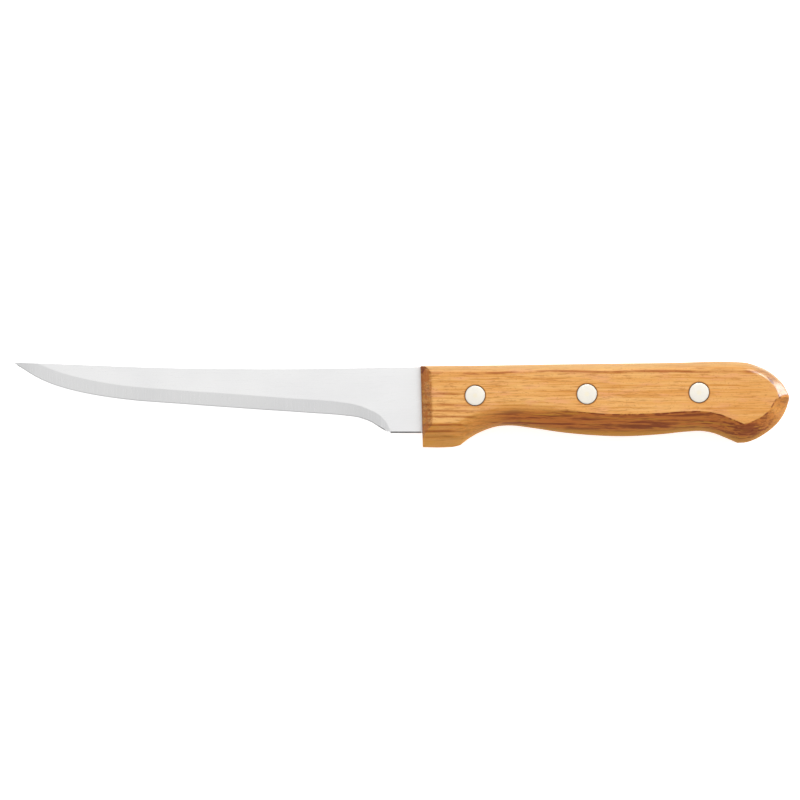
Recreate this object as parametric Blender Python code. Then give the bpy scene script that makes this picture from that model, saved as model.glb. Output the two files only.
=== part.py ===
"""Boning knife: a stamped and ground steel blade with a full tang, between two wooden scales, held by three
two-piece cutler's rivets.

The knife lies on its right side, as it lies on a table. X runs along it, from the tip (-X) to the butt (+X).
Y runs across it, from the cutting edge (-Y) to the spine (+Y). Z is its thickness, up from the table.
Every outline is drawn in a sketch plane (u, v) in millimetres: u along the knife from the front of the
handle, positive towards the butt, and v up from the lowest point of the handle, positive towards the spine.
"""

from math import cos, hypot, pi, radians, sqrt, tan

import bmesh
import bpy
from mathutils import Vector

for obj in list(bpy.data.objects):
    bpy.data.objects.remove(obj)

MM = 0.001

# Driving dimensions, in millimetres.
BLADE_LENGTH = 127.6
HANDLE_LENGTH = 114.7
BLADE_THICKNESS = 1.6
SCALE_THICKNESS = 8.0
SEAM = 0.1  # glue line between the tang and each scale
EDGE_THICKNESS = 0.12
TIP_CUT = 0.12  # how much of the very point is left off
TIP_HEIGHT = 26.25

HEEL = -9.8  # u where the ground bevel ends and the ricasso begins
HEEL_STEP = 0.25  # length over which the bevel's last section runs out into the flat of the ricasso
STEEPEST_GRIND = 0.2  # the most that a bevel takes off each side, over its width
BEVEL_STEP = 0.05  # length over which the lean of the bevel's upper line is measured
LEAST_FLAT = 0.2  # least share of the blade's height that the unground back keeps, so the tip has one too
BELLY_END, STRAIGHT_END = -100.0, -28.0  # u between which the cutting edge is nearly straight
RICASSO_BOTTOM = 4.45
SHOULDER_BOTTOM = 0.7  # u where the tang widens, just behind the front of the scales
SHOULDER_TOP = 0.1
RICASSO_TOP_STATIONS = (0.0, -2.5, -5.0, -7.5)

RIVET_CENTRES = {"front": (16.6, 16.2), "middle": (51.5, 16.65), "rear": (86.5, 17.1)}
RIVET_HEAD_RADIUS = 3.15
RIVET_HEAD_DEPTH = 1.6
RIVET_HEAD_RECESS = 0.05  # how far a head lies below the face of its scale
RIVET_RIM_CHAMFER = 0.15
RIVET_TUBE_RADIUS = 2.2
RIVET_BORE_RADIUS = 1.4
RIVET_PIN_RADIUS = 1.25
RIVET_CLEARANCE = 0.15  # between a rivet and the wood or steel around it
RIVET_END_WALL = 1.2  # solid metal between the bore's blind end and the tube's head
RIVET_END_GAP = 1.2  # empty bore past the end of the pin
OVERCUT = 1.0  # how far a drill runs on past the wood

TOTAL_THICKNESS = BLADE_THICKNESS + 2 * (SCALE_THICKNESS + SEAM)
MID_PLANE = TOTAL_THICKNESS / 2

# Lines of the blade: knots of v over u, from the tip to the handle.
SPINE_LINE = [(-BLADE_LENGTH, TIP_HEIGHT), (-127.1, 26.4), (-126.2, 26.48), (-124.5, 26.45), (-115, 26.15),
              (-95, 25.35), (-75, 24.75), (-55, 24.55), (-35, 24.6), (-15, 24.9), (1, 25.15)]
EDGE_LINE = [(-BLADE_LENGTH, TIP_HEIGHT), (-124.7, 24.4), (-121.5, 22.4), (-116.8, 20.15), (-111, 18.25),
             (-102.5, 16.37), (-92, 14.87), (-75, 13.53), (-55, 12.07), (-35, 10.72), (-24, 9.87),
             (-19.5, 9.2), (-16, 7.95), (-13, 6.13), (-11.3, 5.1), (HEEL, RICASSO_BOTTOM)]
BEVEL_LINE = [(-BLADE_LENGTH, 29.5), (-120.1, 26.15), (-113.2, 23.45), (-105.7, 21.47), (-94.4, 19.45),
              (-79.4, 18.1), (-60, 16.75), (-40, 15.25), (-26, 14.2), (-20.5, 13.27), (-16.3, 11.75),
              (-12.7, 9.6), (-10.8, 7.3), (HEEL, 5.3)]

# Lines of the handle, anticlockwise. The guard and the groove for the finger meet at a blunt corner, and so
# do the palm swell and the butt, at the beak.
GUARD_LINE = [(0.3, 0), (8.0, 0), (10.3, 0.2), (12.0, 0.65)]
BELLY_LINE = [(12.0, 0.65), (14.2, 2.35), (17.0, 4.1), (20.0, 5.45), (23.5, 6.5), (27.4, 6.8), (34.0, 6.1),
              (43.5, 4.7), (53.0, 3.8), (63.0, 3.45), (75.0, 4.1), (83.0, 4.9), (87.0, 5.1), (91.0, 4.5),
              (95.5, 2.8), (98.8, 1.35)]
BACK_LINE = [(98.8, 1.35), (101.4, 1.55), (103.5, 2.2), (107.3, 4.3), (111.0, 7.4), (113.0, 10.1),
             (114.3, 13.2), (HANDLE_LENGTH, 15.9), (113.9, 17.8), (112.5, 20.1), (110.5, 22.1),
             (108.1, 23.9), (105.3, 25.2), (101.9, 26.3), (97.7, 26.7), (94.0, 26.8), (81.0, 26.5),
             (62.0, 26.2), (43.0, 25.95), (22.0, 25.6), (-0.4, 25.4)]
FRONT_LINE = [(-0.4, 25.4), (0.3, 0)]

# How each stretch is broken from the face into the wall: knots of (share of the stretch, width, depth, slope
# in degrees where the break leaves the face).
GUARD_BREAK = [(0.0, 7.2, 5.6, 34), (1.0, 7.2, 5.6, 32)]
BELLY_BREAK = [(0.0, 6.6, 5.6, 30), (0.1, 6.5, 5.6, 23), (0.18, 7.2, 5.6, 16), (0.38, 7.0, 5.6, 30),
               (0.66, 6.8, 5.6, 34), (0.87, 6.2, 5.6, 32), (1.0, 6.1, 5.6, 34)]
BACK_BREAK = [(0.0, 6.1, 5.6, 34), (0.06, 5.4, 5.4, 34), (0.1, 4.8, 5.0, 34), (0.14, 4.1, 4.0, 32),
              (0.17, 3.5, 3.0, 28), (0.2, 2.7, 2.2, 24), (0.27, 2.2, 2.1, 21), (0.4, 2.2, 2.2, 22),
              (1.0, 2.2, 2.2, 22)]
FRONT_BREAK = [(0.0, 3.2, 3.6, 38), (1.0, 3.2, 3.6, 38)]

GUARD_SEGMENTS, BELLY_SEGMENTS, BACK_SEGMENTS, FRONT_SEGMENTS = 8, 56, 72, 8
BREAK_LEVELS = 7
LEVEL_SPREAD = 1.5  # above 1, the levels lie closer together near the face
LOWEST_KNEE = 0.95  # how far down its depth a break's curve may turn upright, as a share
TIP_SECTIONS, EDGE_SECTIONS, HEEL_SECTIONS = 26, 18, 26  # of the blade before, along and after the straight
ROUND_SEGMENTS = 40

STRAIGHT = 1e-6  # second difference below which a break's curve falls evenly
PARALLEL = 1e-6  # cross product below which two segments count as parallel
SLACK = 1e-4  # share of a segment by which two stretches may miss each other's ends
RUN_ON = 2.0  # how far a contour runs past its ends to meet its neighbours
MERGED = 0.01  # points of a contour nearer to its corner than this are left to the corner
SAME_POINT = 0.001  # turned points nearer than this are one, on the axis

# Degrees between neighbouring faces above which the edge between them is sharp.
SHARP, SHARP_ON_BLADE, SHARP_ON_SCALE = 20, 4, 12


# ---------------------------------------------------------------- curves in the sketch plane


def slopes(xs, ys):
    """The slope at each knot of a smooth line through them, weighted by how near its neighbours are."""
    steps = [b - a for a, b in zip(xs, xs[1:])]
    rises = [(b - a) / h for a, b, h in zip(ys, ys[1:], steps)]
    inner = [(rises[i] * steps[i + 1] + rises[i + 1] * steps[i]) / (steps[i] + steps[i + 1])
             for i in range(len(steps) - 1)]
    return [rises[0], *inner, rises[-1]]


def smooth_value(xs, ys, x):
    """The height at x of the smooth line through the knots: a cubic between each pair."""
    slope = slopes(xs, ys)
    i = max(k for k in range(len(xs) - 1) if k == 0 or xs[k] <= x)
    h = xs[i + 1] - xs[i]
    t = (x - xs[i]) / h
    return ((1 + 2 * t) * (1 - t) ** 2 * ys[i] + t * (1 - t) ** 2 * h * slope[i]
            + t * t * (3 - 2 * t) * ys[i + 1] - t * t * (1 - t) * h * slope[i + 1])


def height_on(line, u):
    return smooth_value([p[0] for p in line], [p[1] for p in line], u)


def curve_through(line, segments):
    """Evenly spaced points of the smooth curve through the points of a line."""
    lengths = [0.0]
    for (u0, v0), (u1, v1) in zip(line, line[1:]):
        lengths.append(lengths[-1] + hypot(u1 - u0, v1 - v0))
    us, vs = [p[0] for p in line], [p[1] for p in line]
    stations = [lengths[-1] * k / segments for k in range(segments + 1)]
    return [Vector((smooth_value(lengths, us, s), smooth_value(lengths, vs, s))) for s in stations]


def resampled(points, count):
    """As many evenly spaced points along a polyline as asked for."""
    lengths = [0.0]
    for a, b in zip(points, points[1:]):
        lengths.append(lengths[-1] + (b - a).length)
    made, k = [], 0
    for i in range(count):
        s = lengths[-1] * i / (count - 1)
        while k < len(points) - 2 and lengths[k + 1] < s:
            k += 1
        made.append(points[k].lerp(points[k + 1], (s - lengths[k]) / (lengths[k + 1] - lengths[k])))
    return made


def crossing(first, second):
    """Where the end of one polyline crosses the start of the next: (index on each, the point)."""
    for i in reversed(range(len(first) - 1)):
        a, along = first[i], first[i + 1] - first[i]
        for j in range(len(second) - 1):
            c, other = second[j], second[j + 1] - second[j]
            turn = along.cross(other)
            if abs(turn) < PARALLEL:
                continue
            s, t = (c - a).cross(other) / turn, (c - a).cross(along) / turn
            if -SLACK <= s <= 1 + SLACK and -SLACK <= t <= 1 + SLACK:
                return i, j, a + along * s
    raise ValueError("two neighbouring stretches of the handle's outline don't meet")


# ---------------------------------------------------------------- the broken edge of a scale


class Stretch:
    """One stretch of the handle's outline, with the width, depth and slope of its broken edge along it."""

    def __init__(self, line, edge_break, segments):
        self.count = segments + 1
        self.points = curve_through(line, segments)
        ends = [self.points[0], *self.points, self.points[-1]]
        self.tangents = [(after - before).normalized() for before, after in zip(ends, ends[2:])]
        self.inward = [Vector((-t.y, t.x)) for t in self.tangents]
        shares = [knot[0] for knot in edge_break]
        self.breaks = [
            [smooth_value(shares, [knot[k] for knot in edge_break], i / segments) for k in (1, 2, 3)]
            for i in range(self.count)
        ]

    def at_drop(self, drop):
        """The contour of the broken edge at this drop below the face, run on straight past both ends."""
        insets = [inset(drop, *edge_break) for edge_break in self.breaks]
        curve = [p + n * width for p, n, width in zip(self.points, self.inward, insets)]
        before = curve[0] - self.tangents[0] * RUN_ON
        after = curve[-1] + self.tangents[-1] * RUN_ON
        return [before, *curve, after]


def inset(drop, width, depth, slope):
    """How far inside the outline a broken edge lies at this drop below the face. Its profile is a quadratic
    Bezier curve that leaves the face at the slope and meets the wall upright at the depth."""
    if drop >= depth:
        return 0.0
    knee = min(width * tan(radians(slope)), LOWEST_KNEE * depth)
    bend = depth - 2 * knee
    if abs(bend) < STRAIGHT:
        t = drop / (2 * knee)
    else:
        t = (sqrt(knee * knee + bend * drop) - knee) / bend
    return width * (1 - t) ** 2


def scale_contours():
    """The plan outline of a scale at each drop below its face, as (drop, points)."""
    stretches = [
        Stretch(GUARD_LINE, GUARD_BREAK, GUARD_SEGMENTS),
        Stretch(BELLY_LINE, BELLY_BREAK, BELLY_SEGMENTS),
        Stretch(BACK_LINE, BACK_BREAK, BACK_SEGMENTS),
        Stretch(FRONT_LINE, FRONT_BREAK, FRONT_SEGMENTS),
    ]
    deepest = max(edge_break[1] for stretch in stretches for edge_break in stretch.breaks)
    contours = []
    for level in range(BREAK_LEVELS + 1):
        drop = deepest * (level / BREAK_LEVELS) ** LEVEL_SPREAD
        curves = [stretch.at_drop(drop) for stretch in stretches]
        corners = [crossing(curve, following) for curve, following in zip(curves, curves[1:] + curves[:1])]
        ring = []
        for k, curve in enumerate(curves):
            _, start, first = corners[k - 1]
            end, _, last = corners[k]
            between = [p for p in curve[start + 1:end + 1]
                       if min((p - first).length, (p - last).length) > MERGED]
            ring += resampled([first, *between, last], stretches[k].count)[:-1]
        contours.append((drop, ring))
    return contours


# ---------------------------------------------------------------- meshes


HANDLE_OUTLINE = [
    *curve_through(GUARD_LINE, GUARD_SEGMENTS),
    *curve_through(BELLY_LINE, BELLY_SEGMENTS)[1:],
    *curve_through(BACK_LINE, BACK_SEGMENTS)[1:],
]
CENTRE_U = (HANDLE_LENGTH - BLADE_LENGTH + TIP_CUT) / 2
CENTRE_V = (min(p.y for p in HANDLE_OUTLINE) + max(p.y for p in HANDLE_OUTLINE)) / 2


def placed(u, v, z):
    """A sketch point at a height z above the table, in metres about the knife's origin."""
    return Vector((u - CENTRE_U, v - CENTRE_V, z)) * MM


def loop_of(bm, corners):
    """A closed loop of edges through these corners."""
    verts = [bm.verts.new(corner) for corner in corners]
    return [bm.edges.new((a, b)) for a, b in zip(verts, verts[1:] + verts[:1])]


def material(name, colour, metallic, roughness):
    made = bpy.data.materials.new(name)
    made.use_nodes = True
    shader = made.node_tree.nodes["Principled BSDF"]
    shader.inputs["Base Color"].default_value = (*colour, 1)
    shader.inputs["Metallic"].default_value = metallic
    shader.inputs["Roughness"].default_value = roughness
    return made


def finished(bm, name, finish, sharp_degrees=SHARP):
    """The bmesh as a named object of one material. Its lofted and turned faces are shaded smooth between
    sharp edges, and its flat many-sided faces are shaded flat."""
    bmesh.ops.recalc_face_normals(bm, faces=bm.faces)
    mesh = bpy.data.meshes.new(name)
    bm.to_mesh(mesh)
    bm.free()
    mesh.materials.append(finish)
    mesh.set_sharp_from_angle(angle=radians(sharp_degrees))
    for polygon in mesh.polygons:
        polygon.use_smooth = len(polygon.vertices) <= 4
    made = bpy.data.objects.new(name, mesh)
    bpy.context.scene.collection.objects.link(made)
    return made


def turned(profile, name, finish, centre):
    """A solid turned about an upright axis through centre, from (radius, height) points axis to axis."""
    bm = bmesh.new()
    verts = [bm.verts.new((r * MM, 0, z * MM)) for r, z in profile]
    edges = [bm.edges.new(pair) for pair in zip(verts, verts[1:])]
    bmesh.ops.spin(bm, geom=verts + edges, cent=(0, 0, 0), axis=(0, 0, 1), angle=2 * pi,
                   steps=ROUND_SEGMENTS, use_merge=True)
    bmesh.ops.remove_doubles(bm, verts=bm.verts, dist=SAME_POINT * MM)
    made = finished(bm, name, finish)
    made.location = placed(*centre, 0)
    return made


def cut(target, cutter):
    """Cuts the cutter from the target. The cutter stays as a hidden guide."""
    cutter.hide_render = True
    cutter.display_type = "WIRE"
    cutting = target.modifiers.new("cut_" + cutter.name, "BOOLEAN")
    cutting.operation = "DIFFERENCE"
    cutting.object = cutter


# ---------------------------------------------------------------- blade and tang


def ground_thickness(u, v):
    """Half the blade's thickness at a sketch point: the flat sides, less what the two bevels take off. Where
    the bevels are narrow, at the heel, they keep their slope and leave the edge thick."""
    edge, top = height_on(EDGE_LINE, u), height_on(BEVEL_LINE, u)
    lean = (height_on(BEVEL_LINE, u + BEVEL_STEP) - top) / BEVEL_STEP
    slope = min((BLADE_THICKNESS - EDGE_THICKNESS) / 2 / (top - edge), STEEPEST_GRIND / hypot(1, lean))
    return BLADE_THICKNESS / 2 - max(0.0, top - v) * slope


def blade_section(u):
    """The heights of the cutting edge, the top of the bevel and the spine, each with its half thickness."""
    edge, spine = height_on(EDGE_LINE, u), height_on(SPINE_LINE, u)
    crease = min(height_on(BEVEL_LINE, u), spine - LEAST_FLAT * (spine - edge))
    return [(v, ground_thickness(u, v)) for v in (edge, crease, spine)]


def blade_stations():
    """The u of each section, closest together where the outline turns: at the tip and at the heel."""
    tip, bend = -BLADE_LENGTH + TIP_CUT, HEEL - HEEL_STEP
    stretches = [
        (tip, BELLY_END, TIP_SECTIONS),
        (BELLY_END, STRAIGHT_END, EDGE_SECTIONS),
        (STRAIGHT_END, bend, HEEL_SECTIONS),
    ]
    made = [a + (b - a) * k / n for a, b, n in stretches for k in range(n)]
    return [*made, bend]


def blade_rings():
    """Each section of the blade as [edge, crease, spine] on the left side, then the same on the right."""
    rings = []
    for u in blade_stations():
        section = blade_section(u)
        rings.append([[placed(u, v, MID_PLANE + side * half) for v, half in section] for side in (1, -1)])
    heel = [RICASSO_BOTTOM, height_on(BEVEL_LINE, HEEL), height_on(SPINE_LINE, HEEL)]
    half = BLADE_THICKNESS / 2
    rings.append([[placed(HEEL, v, MID_PLANE + side * half) for v in heel] for side in (1, -1)])
    return rings


def plate_outline():
    """The flat of the ricasso and the tang, anticlockwise from the foot of the heel to the spine."""
    top_of_ricasso = [(u, height_on(SPINE_LINE, u)) for u in RICASSO_TOP_STATIONS]
    tang = [(p.x, p.y) for p in HANDLE_OUTLINE if p.x > SHOULDER_BOTTOM]
    return [
        (SHOULDER_BOTTOM, RICASSO_BOTTOM),
        (SHOULDER_BOTTOM, 0.0),
        *tang,
        (SHOULDER_TOP, BACK_LINE[-1][1]),
        (SHOULDER_TOP, height_on(SPINE_LINE, SHOULDER_TOP)),
        *top_of_ricasso,
    ]


def build_blade(steel):
    """The blade and its tang: sections lofted from the tip to the heel, then a flat plate to the butt."""
    bm = bmesh.new()
    rings = [[[bm.verts.new(p) for p in side] for side in ring] for ring in blade_rings()]
    loops = [left + right[::-1] for left, right in rings]
    for ring, following in zip(loops, loops[1:]):
        for k in range(len(ring)):
            nxt = (k + 1) % len(ring)
            bm.faces.new((ring[k], ring[nxt], following[nxt], following[k]))
    bm.faces.new(loops[0])

    plate = [[bm.verts.new(placed(u, v, MID_PLANE + side * BLADE_THICKNESS / 2)) for u, v in plate_outline()]
             for side in (1, -1)]
    borders = []
    for heel, outline in zip(rings[-1], plate):
        foot, crease, spine = heel
        border = [foot, *outline, spine]
        bm.faces.new([*border, crease])
        borders.append(border)
    for (a, b), (c, d) in zip(*(list(zip(border, border[1:])) for border in borders)):
        bm.faces.new((a, b, d, c))

    blade = finished(bm, "blade", steel, sharp_degrees=SHARP_ON_BLADE)
    for name, centre in RIVET_CENTRES.items():
        radius = RIVET_TUBE_RADIUS + RIVET_CLEARANCE
        hole = [(0, 0), (radius, 0), (radius, TOTAL_THICKNESS), (0, TOTAL_THICKNESS)]
        cut(blade, turned(hole, f"{name}_tang_hole", steel, centre))


# ---------------------------------------------------------------- scales


def build_scale(name, side, wood):
    """One scale, on the left (side 1) or on the right (side -1): its contours bridged from the outer face to
    the inner one, and stepped holes for the rivets."""
    contours = scale_contours()
    inner, outer = BLADE_THICKNESS / 2 + SEAM, TOTAL_THICKNESS / 2
    layers = [(outer - drop, ring) for drop, ring in contours]
    layers.append((inner, contours[-1][1]))
    bm = bmesh.new()
    loops = [loop_of(bm, [placed(p.x, p.y, MID_PLANE + side * z) for p in ring]) for z, ring in layers]
    for a, b in zip(loops, loops[1:]):
        bmesh.ops.bridge_loops(bm, edges=a + b)
    bmesh.ops.contextual_create(bm, geom=loops[0])
    bmesh.ops.contextual_create(bm, geom=loops[-1])
    scale = finished(bm, name, wood, sharp_degrees=SHARP_ON_SCALE)

    head = RIVET_HEAD_RADIUS + RIVET_CLEARANCE
    shank = RIVET_TUBE_RADIUS + RIVET_CLEARANCE
    seat = outer - RIVET_HEAD_RECESS - RIVET_HEAD_DEPTH - RIVET_CLEARANCE
    above, below = outer + OVERCUT, inner - OVERCUT / 2
    stepped = [(0, above), (head, above), (head, seat), (shank, seat), (shank, below), (0, below)]
    profile = [(r, MID_PLANE + side * z) for r, z in stepped]
    for rivet, centre in RIVET_CENTRES.items():
        cut(scale, turned(profile, f"{rivet}_hole_{name}", wood, centre))


# ---------------------------------------------------------------- rivets


def rivet_head(outward):
    """The half profile of a head that faces up (1) or down (-1), from its flush face to its seat."""
    face = TOTAL_THICKNESS / 2 - RIVET_HEAD_RECESS
    points = [
        (0, face),
        (RIVET_HEAD_RADIUS - RIVET_RIM_CHAMFER, face),
        (RIVET_HEAD_RADIUS, face - RIVET_RIM_CHAMFER),
        (RIVET_HEAD_RADIUS, face - RIVET_HEAD_DEPTH),
    ]
    return [(r, MID_PLANE + outward * z) for r, z in points]


def build_rivet(name, centre, aluminium):
    """The tube from the left scale, and the pin from the right scale that is driven into its bore."""
    left_seat = rivet_head(1)[-1][1]
    right_seat = rivet_head(-1)[-1][1]
    tube_end = right_seat + RIVET_CLEARANCE
    bore_end = left_seat - RIVET_END_WALL
    tube = [*rivet_head(1), (RIVET_TUBE_RADIUS, left_seat), (RIVET_TUBE_RADIUS, tube_end),
            (RIVET_BORE_RADIUS, tube_end), (RIVET_BORE_RADIUS, bore_end), (0, bore_end)]
    pin_end = bore_end - RIVET_END_GAP
    taper = RIVET_PIN_RADIUS / 2
    pin = [*rivet_head(-1), (RIVET_PIN_RADIUS, right_seat), (RIVET_PIN_RADIUS, pin_end - taper),
           (taper, pin_end), (0, pin_end)]
    turned(tube, f"{name}_rivet_tube", aluminium, centre)
    turned(pin, f"{name}_rivet_pin", aluminium, centre)


def build_knife():
    steel = material("satin_steel", (0.72, 0.72, 0.73), 1.0, 0.32)
    wood = material("lacquered_wood", (0.78, 0.4, 0.14), 0.0, 0.42)
    aluminium = material("aluminium", (0.86, 0.85, 0.82), 1.0, 0.4)
    build_blade(steel)
    build_scale("left_scale", 1, wood)
    build_scale("right_scale", -1, wood)
    for name, centre in RIVET_CENTRES.items():
        build_rivet(name, centre, aluminium)


build_knife()
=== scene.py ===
"""The boning knife's looks: its steel, wood and rivets, on a pale table in soft studio light.

Sizes are in millimetres in a sketch plane (u, v): u along the knife from the front of the handle, positive
towards the butt, and v across it from the lowest point of the handle, positive towards the spine. Where that
plane lies comes from the CAD frame.
"""

from math import cos, pi, radians, sin

import bmesh
import bpy
import numpy as np
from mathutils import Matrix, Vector


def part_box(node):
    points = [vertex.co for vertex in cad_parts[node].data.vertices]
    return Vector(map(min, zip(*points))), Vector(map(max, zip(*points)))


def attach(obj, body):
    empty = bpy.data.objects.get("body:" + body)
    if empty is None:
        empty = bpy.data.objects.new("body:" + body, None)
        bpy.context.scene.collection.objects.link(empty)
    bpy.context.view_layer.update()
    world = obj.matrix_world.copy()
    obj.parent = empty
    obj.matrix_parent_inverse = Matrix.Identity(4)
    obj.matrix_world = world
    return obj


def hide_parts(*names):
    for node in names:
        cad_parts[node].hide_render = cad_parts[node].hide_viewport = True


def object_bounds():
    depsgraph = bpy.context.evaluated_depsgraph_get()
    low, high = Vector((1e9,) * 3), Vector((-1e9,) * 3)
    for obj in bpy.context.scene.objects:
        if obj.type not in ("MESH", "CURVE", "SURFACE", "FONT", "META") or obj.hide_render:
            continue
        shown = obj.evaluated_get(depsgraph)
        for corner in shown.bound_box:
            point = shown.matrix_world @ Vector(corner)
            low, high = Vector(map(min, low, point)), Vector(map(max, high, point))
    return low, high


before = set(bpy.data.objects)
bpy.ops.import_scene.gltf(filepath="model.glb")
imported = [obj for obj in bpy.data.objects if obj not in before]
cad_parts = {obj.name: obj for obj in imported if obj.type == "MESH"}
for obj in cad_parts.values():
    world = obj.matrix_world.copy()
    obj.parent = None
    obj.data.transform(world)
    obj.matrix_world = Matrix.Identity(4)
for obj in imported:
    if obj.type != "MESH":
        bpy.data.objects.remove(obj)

MM = 0.001
cad_low, cad_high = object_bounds()
blade_low, blade_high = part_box("blade")
scale_low, scale_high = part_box("left_scale")

# ---------------------------------------------------------------------------------------- sizes

BLADE_LENGTH = 127.6
TIP_V = 26.25
HEEL_U = -9.8
RICASSO_V = 4.45
SHOULDER_U = 0.7  # front end of the tang's lower shoulder, behind the front of the scales
SHOULDER_TOP_U = 0.1  # and of its upper one

HALF_BLADE = (blade_high[2] - blade_low[2]) / 2 / MM
HALF_HANDLE = (cad_high[2] - cad_low[2]) / 2 / MM
MID_Z = (cad_high[2] + cad_low[2]) / 2 / MM
SCALE_INNER = HALF_HANDLE - (scale_high[2] - scale_low[2]) / MM
TANG_INSET = 0.04  # how far the steel lies below the wood around the handle's rim

SPINE_LINE = [(-BLADE_LENGTH, TIP_V), (-127.1, 26.4), (-126.2, 26.48), (-124.5, 26.45), (-115, 26.15),
              (-95, 25.35), (-75, 24.75), (-55, 24.55), (-35, 24.6), (-15, 24.9), (1, 25.15)]
EDGE_LINE = [(-BLADE_LENGTH, TIP_V), (-124.7, 24.4), (-121.5, 22.4), (-116.8, 20.15), (-111, 18.25),
             (-102.5, 16.37), (-92, 14.87), (-75, 13.53), (-55, 12.07), (-35, 10.72), (-24, 9.87),
             (-19.5, 9.2), (-16, 7.95), (-13, 6.13), (-11.3, 5.1), (HEEL_U, RICASSO_V)]
BEVEL_LINE = [(-BLADE_LENGTH, 29.5), (-120.1, 26.15), (-113.2, 23.45), (-105.7, 21.47), (-94.4, 19.45),
              (-79.4, 18.1), (-60, 16.75), (-40, 15.25), (-26, 14.2), (-20.5, 13.27), (-16.3, 11.75),
              (-12.7, 9.6), (-10.8, 7.3), (HEEL_U, 5.3)]

GUARD_LINE = [(0.3, 0), (8.0, 0), (10.3, 0.2), (12.0, 0.65)]
BELLY_LINE = [(12.0, 0.65), (14.2, 2.35), (17.0, 4.1), (20.0, 5.45), (23.5, 6.5), (27.4, 6.8), (34.0, 6.1),
              (43.5, 4.7), (53.0, 3.8), (63.0, 3.45), (75.0, 4.1), (83.0, 4.9), (87.0, 5.1), (91.0, 4.5),
              (95.5, 2.8), (98.8, 1.35)]
BACK_LINE = [(98.8, 1.35), (101.4, 1.55), (103.5, 2.2), (107.3, 4.3), (111.0, 7.4), (113.0, 10.1),
             (114.3, 13.2), (114.7, 15.9), (113.9, 17.8), (112.5, 20.1), (110.5, 22.1), (108.1, 23.9),
             (105.3, 25.2), (101.9, 26.3), (97.7, 26.7), (94.0, 26.8), (81.0, 26.5), (62.0, 26.2),
             (43.0, 25.95), (22.0, 25.6), (-0.4, 25.4)]
FRONT_LINE = [(-0.4, 25.4), (0.3, 0)]

# The broken edge along each stretch of the handle: (share of the stretch, width, depth, slope in degrees at
# the face, how far the crease at the face is softened).
GUARD_BREAK = [(0.0, 7.2, 5.6, 34, 0.6), (1.0, 7.2, 5.6, 32, 0.6)]
BELLY_BREAK = [(0.0, 6.6, 5.6, 30, 0.6), (0.1, 6.3, 5.6, 23, 1.0), (0.18, 6.9, 5.6, 16, 2.2),
               (0.28, 7.0, 5.6, 22, 2.0), (0.4, 7.0, 5.6, 30, 0.5), (0.66, 6.8, 5.6, 34, 0.3),
               (0.87, 6.2, 5.6, 32, 0.3), (1.0, 6.1, 5.6, 34, 0.3)]
BACK_BREAK = [(0.0, 6.1, 5.6, 34, 0.3), (0.06, 5.4, 5.4, 34, 0.3), (0.1, 4.8, 5.2, 34, 0.3),
              (0.15, 4.2, 4.4, 34, 0.3), (0.162, 3.6, 2.3, 26, 0.3), (0.18, 3.0, 2.0, 24, 0.3),
              (0.21, 2.4, 1.8, 22, 0.3), (0.27, 2.2, 2.1, 21, 0.5), (0.4, 2.2, 2.2, 22, 0.5),
              (1.0, 2.2, 2.2, 22, 0.5)]
FRONT_BREAK = [(0.0, 3.2, 3.6, 36, 0.8), (1.0, 3.2, 3.6, 36, 0.8)]

RIVETS = {"front": (16.6, 16.2), "middle": (51.5, 16.65), "rear": (86.5, 17.1)}
HEAD_RADIUS = 3.12
HEAD_DEPTH = 1.6
HEAD_CROWN = 0.05  # how far the middle of a head's face stands above its rim
HEAD_RIM = 0.16  # radius of the round at the rim
HOLE_RADIUS = 3.28
HOLE_MOUTH = 0.12  # width and depth of the worn lip round a rivet's hole
MOUTH_BEND = 0.03  # how near the hole's wall and the face the lip turns
SEAT_GAP = 0.15  # between a head and the wood under it
SHANK_RADIUS = 2.2
SHANK_HOLE_RADIUS = 2.3
TUBE_GAP = 0.1  # between the end of the tube and the head of the pin
BORE_RADIUS = 1.4
BORE_END = 1.2  # from the seat of the tube's head to the blind end of its bore
PIN_RADIUS = 1.25
PIN_END = 2.4  # from that seat to the end of the pin
PIN_NOSE_RADIUS, PIN_NOSE_LENGTH = 0.6, 0.6  # of the taper at its end
ROUND_SEGMENTS = 96


# ---------------------------------------------------------------------------------------- curves

PARALLEL = 1e-9  # cross product below which two segments count as parallel
SLACK = 1e-6  # share of a segment by which two polylines may miss each other's ends


def smooth_values(xs, ys, x):
    """The heights at x of the smooth line through the knots: a cubic between each pair of them."""
    xs, ys, x = (np.asarray(values, float) for values in (xs, ys, x))
    steps = np.diff(xs)
    rises = np.diff(ys) / steps
    inner = (rises[:-1] * steps[1:] + rises[1:] * steps[:-1]) / (steps[:-1] + steps[1:])
    slope = np.concatenate([rises[:1], inner, rises[-1:]])
    i = np.clip(np.searchsorted(xs, x, side="right") - 1, 0, len(xs) - 2)
    h = steps[i]
    t = (x - xs[i]) / h
    return ((1 + 2 * t) * (1 - t) ** 2 * ys[i] + t * (1 - t) ** 2 * h * slope[i]
            + t * t * (3 - 2 * t) * ys[i + 1] - t * t * (1 - t) * h * slope[i + 1])


def heights_on(line, u):
    knots = np.array(line, float)
    return smooth_values(knots[:, 0], knots[:, 1], u)


def height_on(line, u):
    return float(heights_on(line, u))


def curve_through(line, segments):
    """Evenly spaced points of the smooth curve through the points of a line."""
    knots = np.array(line, float)
    lengths = np.concatenate([[0], np.cumsum(np.hypot(*np.diff(knots, axis=0).T))])
    at = np.linspace(0, lengths[-1], segments + 1)
    return np.stack([smooth_values(lengths, knots[:, axis], at) for axis in (0, 1)], axis=1)


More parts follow.
